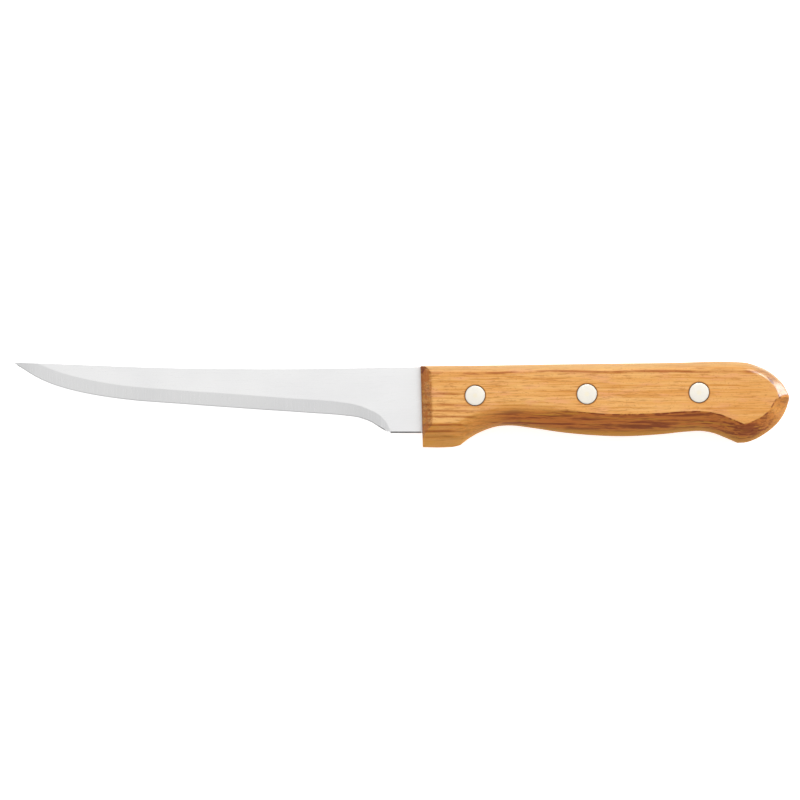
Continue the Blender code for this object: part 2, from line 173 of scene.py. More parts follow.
def resampled(points, count):
    """As many evenly spaced points along a polyline as asked for."""
    lengths = np.concatenate([[0], np.cumsum(np.hypot(*np.diff(points, axis=0).T))])
    at = np.linspace(0, lengths[-1], count)
    return np.stack([np.interp(at, lengths, points[:, axis]) for axis in (0, 1)], axis=1)


def cross(a, b):
    return a[..., 0] * b[..., 1] - a[..., 1] * b[..., 0]


def meeting(first, second):
    """Where the end of one polyline crosses the start of the next: (segment of each, the point)."""
    a, along = first[:-1, None], np.diff(first, axis=0)[:, None]
    c, other = second[None, :-1], np.diff(second, axis=0)[None]
    turn = cross(along, other)
    turn = np.where(abs(turn) < PARALLEL, np.inf, turn)
    s, t = cross(c - a, other) / turn, cross(c - a, along) / turn
    hits = np.argwhere((s > -SLACK) & (s < 1 + SLACK) & (t > -SLACK) & (t < 1 + SLACK))
    i, j = hits[-1]
    return i, j, first[i] + s[i, j] * (first[i + 1] - first[i])


def left_normals(along):
    """Unit vectors a quarter turn to the left of these."""
    return np.stack([-along[:, 1], along[:, 0]], axis=1) / np.hypot(*along.T)[:, None]


# ---------------------------------------------------------------------------------------- meshes


def placed(u, v, z):
    """Sketch points at heights z from the mid-plane, in metres in the frame."""
    u, v, z = np.broadcast_arrays(u, v, z)
    return np.stack([u + ORIGIN_X, v + ORIGIN_Y, z + MID_Z], axis=-1) * MM


def quads_between(a, b, closed=True):
    """Quads between two rows of as many vertex indices."""
    count = len(a) if closed else len(a) - 1
    return [(a[k], a[(k + 1) % len(a)], b[(k + 1) % len(b)], b[k]) for k in range(count)]


class Builder:
    """Collects rows of points and the faces between them. Faces of a cap are shaded flat."""

    def __init__(self):
        self.verts, self.faces, self.flat = [], [], set()

    def row(self, points):
        start = len(self.verts)
        self.verts += [tuple(p) for p in points]
        return list(range(start, len(self.verts)))

    def ring(self, points, z):
        """A row of the sketch points at one height from the mid-plane."""
        return self.row(placed(points[:, 0], points[:, 1], z))

    def bridge(self, rows):
        for a, b in zip(rows, rows[1:]):
            self.faces += quads_between(a, b)

    def cap(self, rows, triangles):
        order = [i for row in rows for i in row]
        self.flat.update(range(len(self.faces), len(self.faces) + len(triangles)))
        self.faces += [[order[i] for i in triangle] for triangle in triangles]

    def piece(self, name, material, stands_for, sharp_degrees=50):
        """The mesh as a named piece that replaces a CAD node and rides on the one body."""
        mesh = bpy.data.meshes.new(name)
        mesh.from_pydata(self.verts, [], [tuple(int(i) for i in face) for face in self.faces])
        mesh.validate()
        bm = bmesh.new()
        bm.from_mesh(mesh)
        bmesh.ops.recalc_face_normals(bm, faces=bm.faces)
        bm.to_mesh(mesh)
        bm.free()
        mesh.set_sharp_from_angle(angle=radians(sharp_degrees))
        mesh.materials.append(material)
        for polygon in mesh.polygons:
            polygon.use_smooth = polygon.index not in self.flat
        made = bpy.data.objects.new(name, mesh)
        bpy.context.scene.collection.objects.link(made)
        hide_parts(stands_for)
        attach(made, "root")


def circle(centre, radius):
    turn = 2 * pi * np.arange(ROUND_SEGMENTS) / ROUND_SEGMENTS
    return np.stack([centre[0] + radius * np.cos(turn), centre[1] + radius * np.sin(turn)], axis=1)


def sheet_between(outline, circles):
    """Triangles that fill an outline round circular holes. They index the outline's points and then the
    circles'."""
    bm = bmesh.new()
    edges = []
    for ring in [outline, *circles]:
        verts = [bm.verts.new((x, y, 0)) for x, y in ring]
        edges += [bm.edges.new((a, b)) for a, b in zip(verts, verts[1:] + verts[:1])]
    bm.verts.index_update()
    bmesh.ops.triangle_fill(bm, edges=edges, use_beauty=True, use_dissolve=False)
    triangles = [[v.index for v in face.verts] for face in bm.faces]
    bm.free()
    return triangles


# ---------------------------------------------------------------------------------------- scales

LEVELS = 30
LEVEL_SPREAD = 2.0  # above 1, the levels lie closer together near the face
LOWEST_KNEE = 0.95  # how far down its depth a break's curve may turn upright, as a share
STRAIGHT = 1e-6  # second difference below which a break's curve would fall evenly
RUN_ON = 3.0  # how far a contour runs past its ends to meet its neighbours
MERGED = 0.005  # points of a contour nearer to its corner than this are left to the corner


def inset(drop, width, depth, slope, soft):
    """How far inside the outline a broken edge lies at this drop below the face. Its profile leaves the
    face on a short round, falls at the slope, and bends until it meets the wall upright at the depth."""
    knee = np.minimum(width * np.tan(np.radians(slope)), LOWEST_KNEE * depth)
    bend = depth - 2 * knee
    bend = np.where(abs(bend) < STRAIGHT, STRAIGHT, bend)
    t = (np.sqrt(np.maximum(knee * knee + bend * drop, 0)) - knee) / bend
    fallen = width * (1 - t) ** 2
    reach = soft * np.sin(np.radians(slope))
    r = np.sqrt(np.clip(drop / reach, 0, 1))
    low = np.sqrt(np.maximum(knee * knee + bend * reach, 0))
    landing = width * (1 - (low - knee) / bend) ** 2
    rounded = (1 - r) ** 2 * (width + soft) + 2 * r * (1 - r) * width + r * r * landing
    return np.where(drop >= depth, 0.0, np.where(drop < reach, rounded, fallen))


class Stretch:
    """One stretch of the handle's outline, with its broken edge."""

    def __init__(self, line, edge_break, segments):
        self.count = segments + 1
        self.points = curve_through(line, segments)
        tangents = np.gradient(self.points, axis=0)
        self.tangents = tangents / np.hypot(*tangents.T)[:, None]
        self.inward = left_normals(self.tangents)
        knots = np.array(edge_break, float)
        shares = np.linspace(0, 1, self.count)
        self.breaks = [smooth_values(knots[:, 0], knots[:, k], shares) for k in range(1, 5)]

    def at_drop(self, drop):
        """The contour of the broken edge at this drop below the face, run on straight past both ends."""
        curve = self.points + self.inward * inset(drop, *self.breaks)[:, None]
        before = curve[0] - self.tangents[0] * RUN_ON
        after = curve[-1] + self.tangents[-1] * RUN_ON
        return np.vstack([before, curve, after])


STRETCHES = [
    Stretch(GUARD_LINE, GUARD_BREAK, segments=40),
    Stretch(BELLY_LINE, BELLY_BREAK, segments=300),
    Stretch(BACK_LINE, BACK_BREAK, segments=460),
    Stretch(FRONT_LINE, FRONT_BREAK, segments=80),
]


def scale_contours():
    """The plan outline of a scale at each drop below its face, as (drop, points)."""
    deepest = max(stretch.breaks[1].max() for stretch in STRETCHES)
    contours = []
    for level in range(LEVELS + 1):
        drop = deepest * (level / LEVELS) ** LEVEL_SPREAD
        curves = [stretch.at_drop(drop) for stretch in STRETCHES]
        corners = [meeting(curve, following) for curve, following in zip(curves, curves[1:] + curves[:1])]
        ring = []
        for k, curve in enumerate(curves):
            _, start, first = corners[k - 1]
            end, _, last = corners[k]
            between = [p for p in curve[start + 1:end + 1]
                       if min(np.hypot(*(p - first)), np.hypot(*(p - last))) > MERGED]
            ring.append(resampled(np.vstack([first, *between, last]), STRETCHES[k].count)[:-1])
        contours.append((drop, np.vstack(ring)))
    return contours


CONTOURS = scale_contours()
OUTLINE = CONTOURS[-1][1]

# The sketch plane's place in the frame: the handle's outline fills its node's box.
ORIGIN_X = scale_high[0] / MM - OUTLINE[:, 0].max()
ORIGIN_Y = (scale_low[1] + scale_high[1]) / 2 / MM - (OUTLINE[:, 1].min() + OUTLINE[:, 1].max()) / 2


def build_scale(name, side, wood):
    """One scale: a flat face with three holes, the broken edge, the wall, and the inner face on the tang."""
    made = Builder()
    rows = [made.ring(contour, side * (HALF_HANDLE - drop)) for drop, contour in CONTOURS]
    rows.append(made.ring(OUTLINE, side * SCALE_INNER))
    made.bridge(rows)

    seat = HALF_HANDLE - HEAD_DEPTH - SEAT_GAP
    hole = [(HOLE_RADIUS + HOLE_MOUTH, HALF_HANDLE), (HOLE_RADIUS + MOUTH_BEND, HALF_HANDLE - MOUTH_BEND),
            (HOLE_RADIUS, HALF_HANDLE - HOLE_MOUTH), (HOLE_RADIUS, seat), (SHANK_HOLE_RADIUS, seat),
            (SHANK_HOLE_RADIUS, SCALE_INNER)]
    walls = [[made.ring(circle(centre, radius), side * height) for radius, height in hole]
             for centre in RIVETS.values()]
    for wall in walls:
        made.bridge(wall)
    for end, edge_row, outline in ((0, rows[0], CONTOURS[0][1]), (-1, rows[-1], OUTLINE)):
        holes = [circle(centre, hole[end][0]) for centre in RIVETS.values()]
        made.cap([edge_row, *(wall[end] for wall in walls)], sheet_between(outline, holes))
    made.piece(f"{name}_wood", wood, name)


# ---------------------------------------------------------------------------------------- blade

GROUND_EDGE = 0.06  # half thickness that the bevels leave at the edge, before it is honed
STEEPEST_GRIND = 0.21  # the most that a bevel takes off each side, over its width
BEVEL_STEP = 0.05  # length over which the lean of the bevel's upper line is measured
HONED_SHARE = 0.5  # what honing leaves of the thickness at the edge
LEAST_BACK = 0.1  # least share of the blade's height above the crease, so the tip has a back too
LEAST_SPINE = 0.4  # least share of its thickness that the back keeps at the spine

# Widths across the blade, each with the most of the blade's height that it may take up, as a share.
HONED_WIDTH, HONED_LIMIT = 0.35, 0.2
CREASE_ROUND, CREASE_LIMIT = 0.06, 0.02
SPINE_BREAK, SPINE_LIMIT = 0.1, 0.03

RICASSO_BREAK = (0.5, 0.28)  # width and depth of the chamfer along the bottom of the ricasso
TANG_BREAK = (0.03, 0.03)

TIP_CUT = 0.1  # how much of the very point is left off
POINT_LENGTH = 3  # length of the point, whose sections lie closest together
BELLY_END, STRAIGHT_END = -100, -28  # u between which the cutting edge is nearly straight
HEEL_STEP = 0.12  # length over which the bevel's last section runs out into the ricasso

RICASSO_STATIONS = 12
FOOT_SPAN = (HEEL_U + 0.4, SHOULDER_U)  # u of the first and last point along the ricasso's bottom
TOP_SPAN = (-0.4, HEEL_U + 0.6)  # and along its top
TANG_START = SHOULDER_U + 0.05  # points of the rim before this are left to the shoulders


def half_thickness(u, v):
    """Half the blade's thickness at a sketch point: the flat sides, less what the ground bevels take off."""
    edge, top = height_on(EDGE_LINE, u), height_on(BEVEL_LINE, u)
    lean = (height_on(BEVEL_LINE, u + BEVEL_STEP) - top) / BEVEL_STEP
    slope = min((HALF_BLADE - GROUND_EDGE) / (top - edge), STEEPEST_GRIND / float(np.hypot(1, lean)))
    return HALF_BLADE - max(0.0, top - v) * slope


def blade_section(u):
    """From the cutting edge to the spine at one station: points (v, half thickness)."""
    edge, spine = height_on(EDGE_LINE, u), height_on(SPINE_LINE, u)
    height = spine - edge
    crease = min(height_on(BEVEL_LINE, u), spine - LEAST_BACK * height)
    honed = min(HONED_WIDTH, HONED_LIMIT * height)
    soft = min(CREASE_ROUND, CREASE_LIMIT * height)
    back = min(SPINE_BREAK, SPINE_LIMIT * height)
    stations = [edge + honed, edge + 0.5 * (crease - edge), crease - soft, crease + soft,
                0.5 * (crease + spine), spine - back]
    points = [(v, half_thickness(u, v)) for v in stations]
    points.insert(0, (edge, HONED_SHARE * half_thickness(u, edge)))
    last = points[-1][1]
    points.append((spine, max(last - back, LEAST_SPINE * last)))
    return points


def blade_stations():
    """The u of each section, closest together at the tip and where the edge bends down to the heel."""
    tip, bend = -BLADE_LENGTH + TIP_CUT, HEEL_U - HEEL_STEP
    stretches = [
        (tip, tip + POINT_LENGTH, 24),
        (tip + POINT_LENGTH, BELLY_END, 70),
        (BELLY_END, STRAIGHT_END, 90),
        (STRAIGHT_END, bend, 150),
    ]
    return [a + (b - a) * k / n for a, b, n in stretches for k in range(n)] + [bend]


def loft_blade(made):
    """Lofts the blade's sections from the tip to the heel. Returns the heel's two rows, left and right."""
    stations = blade_stations()
    sections = [blade_section(u) for u in stations]
    break_width, break_depth = RICASSO_BREAK
    heel = [(RICASSO_V, HALF_BLADE - break_depth), (RICASSO_V + break_width, HALF_BLADE)]
    heel += [(v, HALF_BLADE) for v, _ in sections[-1][2:-1]]
    heel.append((height_on(SPINE_LINE, HEEL_U), HALF_BLADE - SPINE_BREAK))
    rings = []
    for u, section in zip([*stations, HEEL_U], [*sections, heel]):
        v, half = np.array(section).T
        rings.append([made.row(placed(u, v, side * half)) for side in (1, -1)])
    loops = [left + right[::-1] for left, right in rings]
    made.bridge(loops)
    made.faces.append(loops[0])
    return rings[-1]


def plate_rows():
    """The ricasso's and the tang's outline from the foot of the heel round to the spine, as points (u, v,
    width and depth of the broken edge)."""
    inward = left_normals(np.roll(OUTLINE, -1, axis=0) - np.roll(OUTLINE, 1, axis=0))
    rim = (OUTLINE + inward * TANG_INSET)[:1 - STRETCHES[-1].count]
    foot = [(u, RICASSO_V, *RICASSO_BREAK) for u in np.linspace(*FOOT_SPAN, RICASSO_STATIONS)]
    tang = [(u, v, *TANG_BREAK) for u, v in rim if u > TANG_START]
    top = [(u, height_on(SPINE_LINE, u), SPINE_BREAK, SPINE_BREAK)
           for u in np.linspace(*TOP_SPAN, RICASSO_STATIONS)]
    return [
        *foot,
        (SHOULDER_U, TANG_INSET, *TANG_BREAK),
        *tang,
        (SHOULDER_TOP_U, rim[-1][1], *TANG_BREAK),
        (SHOULDER_TOP_U, height_on(SPINE_LINE, 0), *TANG_BREAK),
        *top,
    ]


def build_blade(steel):
    """The blade and its tang as one closed mesh: the lofted blade, then a flat plate with three holes."""
    made = Builder()
    heel_rows = loft_blade(made)
    u, v, width, depth = np.array(plate_rows()).T
    path = np.stack([u, v], axis=1)
    before = np.vstack([[[HEEL_U, RICASSO_V]], path[:-1]])
    after = np.vstack([path[1:], [[HEEL_U, height_on(SPINE_LINE, HEEL_U)]]])
    face_path = path + left_normals(after - before) * width[:, None]
    borders, drilled = [], []
    for heel, side in zip(heel_rows, (1, -1)):
        edge_row = [heel[0], *made.row(placed(u, v, side * (HALF_BLADE - depth))), heel[-1]]
        face_row = [heel[1], *made.ring(face_path, side * HALF_BLADE), heel[-2]]
        made.faces += quads_between(edge_row, face_row, closed=False)
        face = face_row + heel[2:-2][::-1]
        holes = [made.ring(circle(centre, SHANK_HOLE_RADIUS), side * HALF_BLADE)
                 for centre in RIVETS.values()]
        outline, *circles = [[np.array(made.verts[i][:2]) / MM for i in row] for row in [face, *holes]]
        made.cap([face, *holes], sheet_between(outline, circles))
        borders.append(edge_row)
        drilled.append(holes)
    made.faces += quads_between(*borders, closed=False)
    for rows in zip(*drilled):
        made.bridge(rows)
    made.piece("blade_steel", steel, "blade", sharp_degrees=3)


# ---------------------------------------------------------------------------------------- rivets


def build_turned(name, profile, centre, metal, stands_for):
    """A turned piece from (radius, height from the mid-plane) points that start and end on the axis."""
    made = Builder()
    axis = np.array([centre], float)
    tip = made.ring(axis, profile[0][1])[0]
    rows = [made.ring(circle(centre, radius), height) for radius, height in profile[1:-1]]
    tail = made.ring(axis, profile[-1][1])[0]
    made.bridge(rows)
    sectors = [(k, (k + 1) % ROUND_SEGMENTS) for k in range(ROUND_SEGMENTS)]
    made.faces += [(tip, rows[0][a], rows[0][b]) for a, b in sectors]
    made.faces += [(tail, rows[-1][b], rows[-1][a]) for a, b in sectors]
    made.piece(name, metal, stands_for, sharp_degrees=35)


def head_profile(outward):
    """A head's half profile, from its axis over a slightly crowned face and a rounded rim to its seat."""
    face = HALF_HANDLE - HEAD_CROWN
    points = [(HEAD_RADIUS * share, face + HEAD_CROWN * (1 - share * share))
              for share in (0, 0.2, 0.4, 0.6, 0.8)]
    rim_steps = 6
    rim_radius, rim_height = HEAD_RADIUS - HEAD_RIM, face - HEAD_RIM
    for step in range(rim_steps + 1):
        turn = pi / 2 * step / rim_steps
        points.append((rim_radius + HEAD_RIM * sin(turn), rim_height + HEAD_RIM * cos(turn)))
    points.append((HEAD_RADIUS, HALF_HANDLE - HEAD_DEPTH))
    return [(r, outward * z) for r, z in points]


def build_rivet(name, centre, metal):
    """The tube, with its head in the left scale, and the pin, with its head in the right one."""
    seat = HALF_HANDLE - HEAD_DEPTH
    tube = [*head_profile(1), (SHANK_RADIUS, seat), (SHANK_RADIUS, TUBE_GAP - seat),
            (BORE_RADIUS, TUBE_GAP - seat), (BORE_RADIUS, seat - BORE_END), (0, seat - BORE_END)]
    pin_end = seat - PIN_END
    pin = [*head_profile(-1), (PIN_RADIUS, -seat), (PIN_RADIUS, pin_end - PIN_NOSE_LENGTH),
           (PIN_NOSE_RADIUS, pin_end), (0, pin_end)]
    build_turned(f"{name}_rivet_head_left", tube, centre, metal, f"{name}_rivet_tube")
    build_turned(f"{name}_rivet_head_right", pin, centre, metal, f"{name}_rivet_pin")


# ---------------------------------------------------------------------------------------- materials


class Nodes:
    """A material's node tree, with short ways to add to it."""

    def __init__(self, name):
        self.material = bpy.data.materials.new(name)
        self.material.use_nodes = True
        self.tree = self.material.node_tree
        self.shader = self.tree.nodes["Principled BSDF"]
        self.place = self.add("ShaderNodeTexCoord").outputs["Object"]

    def add(self, kind, **settings):
        node = self.tree.nodes.new(kind)
        for key, value in settings.items():
            setattr(node, key, value)
        return node

    def feed(self, socket, value):
        if isinstance(value, bpy.types.NodeSocket):
            self.tree.links.new(value, socket)
        elif isinstance(value, tuple) and len(value) == 3 and socket.type == "RGBA":
            socket.default_value = (*value, 1)
        else:
            socket.default_value = value

    def math(self, operation, a, b=0.0, c=0.0):
        node = self.add("ShaderNodeMath", operation=operation)
        for socket, value in zip(node.inputs, (a, b, c)):
            self.feed(socket, value)
        return node.outputs[0]

    def product(self, first, *others):
        for other in others:
            first = self.math("MULTIPLY", first, other)
        return first

    def mix(self, share, a, b, blend="MIX"):
        node = self.add("ShaderNodeMix", data_type="RGBA", blend_type=blend)
        self.feed(node.inputs["Factor"], share)
        for identifier, value in (("A_Color", a), ("B_Color", b)):
            self.feed(next(socket for socket in node.inputs if socket.identifier == identifier), value)
        return next(socket for socket in node.outputs if socket.identifier == "Result_Color")

    def tinted(self, colour, tint, share, strength, blend="MIX"):
        """The colour, moved towards the tint by a share of this strength."""
        return self.mix(self.product(share, strength), colour, tint, blend)

    def facing(self):
        """How far the surface faces along X, Y and Z."""
        return self.split(self.add("ShaderNodeNewGeometry").outputs["Normal"])

    def split(self, vector):
        """The outputs X, Y and Z of a vector."""
        node = self.add("ShaderNodeSeparateXYZ")
        self.feed(node.inputs[0], vector)
        return node.outputs

    def noise(self, scale, detail=2.0, roughness=0.5, offset=(0, 0, 0)):
        """Noise with this many features to a metre along X, Y and Z."""
        stretch = self.add("ShaderNodeMapping")
        self.feed(stretch.inputs["Vector"], self.place)
        stretch.inputs["Scale"].default_value = scale
        stretch.inputs["Location"].default_value = offset
        node = self.add("ShaderNodeTexNoise")
        self.feed(node.inputs["Vector"], stretch.outputs[0])
        for key, value in (("Scale", 1.0), ("Detail", detail), ("Roughness", roughness)):
            node.inputs[key].default_value = value
        return node.outputs["Fac"]

    def ramp(self, value, low, high, to_low=0.0, to_high=1.0):
        node = self.add("ShaderNodeMapRange", interpolation_type="SMOOTHSTEP")
        for socket, given in zip(node.inputs, (value, low, high, to_low, to_high)):
            self.feed(socket, given)
        return node.outputs[0]

    def bump(self, height, strength, distance):
        node = self.add("ShaderNodeBump")
        self.feed(node.inputs["Height"], height)
        node.inputs["Strength"].default_value = strength
        node.inputs["Distance"].default_value = distance
        self.tree.links.new(node.outputs[0], self.shader.inputs["Normal"])


class Sketched(Nodes):
    """A material of the handle that knows where it is in the sketch plane."""

    def __init__(self, name, seed=0):
        super().__init__(name)
        self.shift = (seed * 0.37, seed * 0.11, seed * 0.23)
        axes = self.split(self.place)
        self.u = self.math("SUBTRACT", self.math("DIVIDE", axes["X"], MM), ORIGIN_X)
        self.v = self.math("SUBTRACT", self.math("DIVIDE", axes["Y"], MM), ORIGIN_Y)
        height = self.math("ABSOLUTE", self.math("SUBTRACT", self.math("DIVIDE", axes["Z"], MM), MID_Z))
        self.drop = self.math("SUBTRACT", HALF_HANDLE, height)

    def streaks(self, along, across, detail=2.0, roughness=0.5):
        """Noise whose features are this long and this wide, in millimetres."""
        return self.noise((1 / along / MM, 1 / across / MM, 1 / across / MM), detail, roughness, self.shift)

    def distance(self, centre, reach=(1.0, 1.0)):
        """How far a sketch point is from the centre, in reaches along u and v."""
        u = self.math("DIVIDE", self.math("SUBTRACT", self.u, centre[0]), reach[0])
        v = self.math("DIVIDE", self.math("SUBTRACT", self.v, centre[1]), reach[1])
        return self.math("SQRT", self.math("ADD", self.math("POWER", u, 2.0), self.math("POWER", v, 2.0)))

    def from_rivets(self):
        """The distance in millimetres from the axis of the nearest rivet."""
        front, middle, rear = (self.distance(centre) for centre in RIVETS.values())
        return self.math("MINIMUM", self.math("MINIMUM", front, middle), rear)


# Hardwood: its face, and the darker colours painted as shade on the bevels that face away from the lights,
# and on the end grain at the butt.
HONEY, PALE, BLUSH = (0.775, 0.368, 0.097), (0.835, 0.457, 0.150), (0.805, 0.38, 0.175)
AMBER, BROWN, GOLD = (0.62, 0.24, 0.038), (0.43, 0.14, 0.024), (0.76, 0.34, 0.04)
OLIVE, EMBER, MAROON = (0.50, 0.215, 0.024), (0.48, 0.14, 0.026), (0.16, 0.020, 0.007)
FRONT_GAP_SHADE, UMBER = (0.07, 0.02, 0.012), (0.12, 0.032, 0.011)
GROWTH_TINT, SPINE_SIDE_TINT = (0.56, 0.34, 0.20), (0.60, 0.38, 0.18)

# Single dark growth lines are (v, first u, last u, strength); stains and painted shadows are (centre, reach,
# strength).
LEFT_LINES = [(23.5, -5, 130, 0.9), (16.9, 0, 11, 0.7), (13.4, 0, 20, 0.8), (11.5, 0, 22, 0.6),
              (9.6, 0, 17, 0.8), (6.9, 0, 15, 1.0), (4.9, 0, 14, 0.9), (3.1, 0, 12, 0.5)]
# The left scale's second stain, at the top of its front, is a painted shadow in the gap at the tang's
# shoulder.
LEFT_STAINS_AND_SHADE = [((102.6, 5.9), (5.0, 1.8), 0.7), ((0.2, 24.4), (1.4, 1.7), 0.7)]
RIGHT_LINES = [(11.0, 20, 95, 0.8), (22.0, 10, 60, 0.7), (18.5, 70, 120, 0.6)]
RIGHT_STAINS = [((64.0, 5.5), (6.0, 1.6), 0.7), ((108.0, 21.0), (3.0, 1.2), 0.6)]


def face_colour(n, streak, dash, specks):
    """Honey-coloured wood with fine streaks, dashes and pores, slightly darker towards the butt."""
    colour = n.mix(n.ramp(n.streaks(60, 1.3, 3.0, 0.55), 0.36, 0.62), HONEY, PALE)
    colour = n.tinted(colour, BLUSH, n.ramp(n.streaks(9, 2.6), 0.5, 0.7), 0.6)
    colour = n.tinted(colour, AMBER, n.ramp(streak, 0.48, 0.68), 0.75)
    colour = n.tinted(colour, BROWN, n.ramp(dash, 0.52, 0.70), 0.6)
    colour = n.mix(n.ramp(n.u, 64.0, 100.0, 0.0, 0.22), colour, AMBER)
    return n.tinted(colour, BROWN, specks, 0.35)


def shaded_bevel_colour(n, dash, high):
    """The colour painted as shade on the bevels: dark flames and burns, which fade to an even olive low
    down.
    """
    flame = n.ramp(n.streaks(26, 1.2, 3.0, 0.65), 0.48, 0.68, 0.0, 0.85)
    dark = n.mix(flame, EMBER, OLIVE)
    dark = n.tinted(dark, MAROON, n.ramp(n.streaks(15, 0.9, 3.0, 0.65), 0.48, 0.60), 0.85)
    dark = n.tinted(dark, UMBER, n.ramp(dash, 0.54, 0.70), 0.55)
    return n.mix(high, OLIVE, dark)


def painted_bevel_shade(n, facing, below, high, front):
    """Where the painted shade shows on the bevels: where they face down, less so at the guard, at the butt,
    low down and on the groove's soft crease; faintly as painted shade on the front chamfer, and as the
    darker end grain on the end of the butt."""
    past_guard = n.ramp(n.u, 6.0, 32.0, 0.33, 1.0)
    before_butt = n.ramp(n.u, 114.0, 102.0, 0.65, 1.0)
    groove_crease = n.product(n.ramp(n.u, 46.0, 38.0), n.ramp(n.drop, 1.4, 0.3, 0.0, 0.4))
    under = n.product(below, n.product(past_guard, before_butt), n.math("MULTIPLY_ADD", high, 0.25, 0.75),
                      n.math("SUBTRACT", 1.0, groove_crease))
    end = n.product(n.ramp(facing["X"], 0.1, 0.32), n.ramp(facing["Y"], -0.1, 0.1))
    return n.math("MAXIMUM", under, n.product(n.math("MAXIMUM", front, end), 0.55))


def with_growth_lines(n, colour, lines):
    """Wandering lines along the grain, with gaps."""
    wander = n.product(n.math("SUBTRACT", n.streaks(26, 26), 0.5), 1.6)
    gaps = n.ramp(n.streaks(12, 3, 3.0), 0.38, 0.54, 0.25, 1.0)
    for v, first, last, strength in lines:
        away = n.math("ABSOLUTE", n.math("SUBTRACT", n.math("SUBTRACT", n.v, v), wander))
        span = n.product(n.ramp(n.u, first - 2, first + 2), n.ramp(n.u, last + 3, last - 3))
        line = n.product(n.ramp(away, 0.6, 0.1), n.product(span, gaps))
        colour = n.tinted(colour, GROWTH_TINT, line, strength, "MULTIPLY")
    return colour


def with_wear_and_painted_shade(n, colour, facing, front, stains_and_shade):
    """Bands at the front, and a painted shadow along its rim where the scale meets the steel; a broken dark
    line along the bevel's upper edge; and stains and painted shadows.
    """
    band = n.noise((1 / 1.2 / MM, 1 / 3.5 / MM, 0), 3.0, offset=n.shift)
    colour = n.tinted(colour, EMBER, n.product(n.ramp(band, 0.46, 0.58), front), 0.75)
    # Painted shadow: a dark rim along the front of the scale, where it meets the steel.
    colour = n.tinted(colour, FRONT_GAP_SHADE, n.ramp(n.u, 0.5, 0.15), 0.15)
    low = n.product(n.ramp(n.u, 40.0, 52.0), n.ramp(facing["Y"], 0.2, 0.05))
    arris = n.product(n.ramp(n.drop, 0.0, 0.05), n.ramp(n.drop, 0.4, 0.12),
                      n.ramp(n.streaks(2.2, 1.6, 3.0), 0.46, 0.58),
                      n.math("MAXIMUM", low, n.ramp(n.u, 106.0, 109.0)))
    colour = n.tinted(colour, MAROON, arris, 0.8)
    fleck = n.product(n.math("SUBTRACT", n.streaks(5.0, 0.8, 3.0), 0.5), 3.0)
    # Stains, and the painted shadows listed with them.
    for centre, reach, strength in stains_and_shade:
        dark_patch = n.ramp(n.math("ADD", n.distance(centre, reach), fleck), 1.0, 0.35)
        colour = n.tinted(colour, MAROON, dark_patch, strength)
    return colour


def wood_material(name, seed, lines, stains_and_shade):
    """Hardwood with its grain along the handle, under a worn lacquer that shines on the upper half of the
    butt."""
    n = Sketched(name, seed)
    facing = n.facing()
    streak = n.streaks(20, 0.55, 3.0, 0.62)
    dash = n.streaks(4.0, 0.34, 2.0, 0.6)
    specks = n.ramp(n.streaks(0.7, 0.4, 1.0), 0.60, 0.74)
    below = n.ramp(facing["Y"], -0.1, -0.45)
    front = n.product(n.ramp(n.u, 4.0, 3.0), n.ramp(facing["X"], -0.2, -0.5))
    high = n.ramp(n.drop, 5.0, 3.0)

    # Painted shade: surfaces facing down (-Y), away from the lights, move towards gold, and the bevels among
    # them towards a darker colour.
    colour = n.tinted(face_colour(n, streak, dash, specks), GOLD, below, 0.5)
    shade = painted_bevel_shade(n, facing, below, high, front)
    colour = n.tinted(colour, shaded_bevel_colour(n, dash, high), shade, 0.95)
    colour = with_growth_lines(n, colour, lines)
    colour = with_wear_and_painted_shade(n, colour, facing, front, stains_and_shade)
    # Paler and greyer where the wood faces the spine's side.
    colour = n.tinted(colour, SPINE_SIDE_TINT, n.ramp(facing["Y"], 0.25, 0.7), 0.6)
    # Painted shade: a dark ring in the wood round each rivet's hole, where the gap round its head lies.
    colour = n.tinted(colour, BROWN, n.ramp(n.from_rivets(), HOLE_RADIUS + 0.5, HOLE_RADIUS), 0.6)
    n.feed(n.shader.inputs["Base Color"], colour)

    n.feed(n.shader.inputs["Roughness"], n.ramp(streak, 0.3, 0.7, 0.58, 0.70))
    n.bump(n.math("SUBTRACT", n.product(dash, 0.4), specks), 0.25, 0.00008)
    n.shader.inputs["Specular IOR Level"].default_value = 0.22
    glossy = n.product(n.ramp(n.u, 100.0, 108.0), n.ramp(facing["Y"], 0.0, 0.12))
    n.feed(n.shader.inputs["Coat Weight"], n.math("MULTIPLY_ADD", glossy, 0.95, 0.03))
    n.shader.inputs["Coat Roughness"].default_value = 0.27
    n.shader.inputs["Coat IOR"].default_value = 2.3
    return n.material


DULL_STEEL, BRIGHT_STEEL = (0.79, 0.79, 0.795), (0.83, 0.83, 0.83)
SCRATCHED_STEEL, EDGE_STEEL_AND_SHADE = (0.62, 0.62, 0.62), (0.40, 0.40, 0.405)
WARM_RIVET, COOL_RIVET, LACQUERED_RIVET = (0.825, 0.785, 0.695), (0.795, 0.76, 0.69), (0.83, 0.755, 0.56)
RIVET_RIM, SANDED_RIVET = (0.62, 0.58, 0.52), (0.72, 0.69, 0.62)


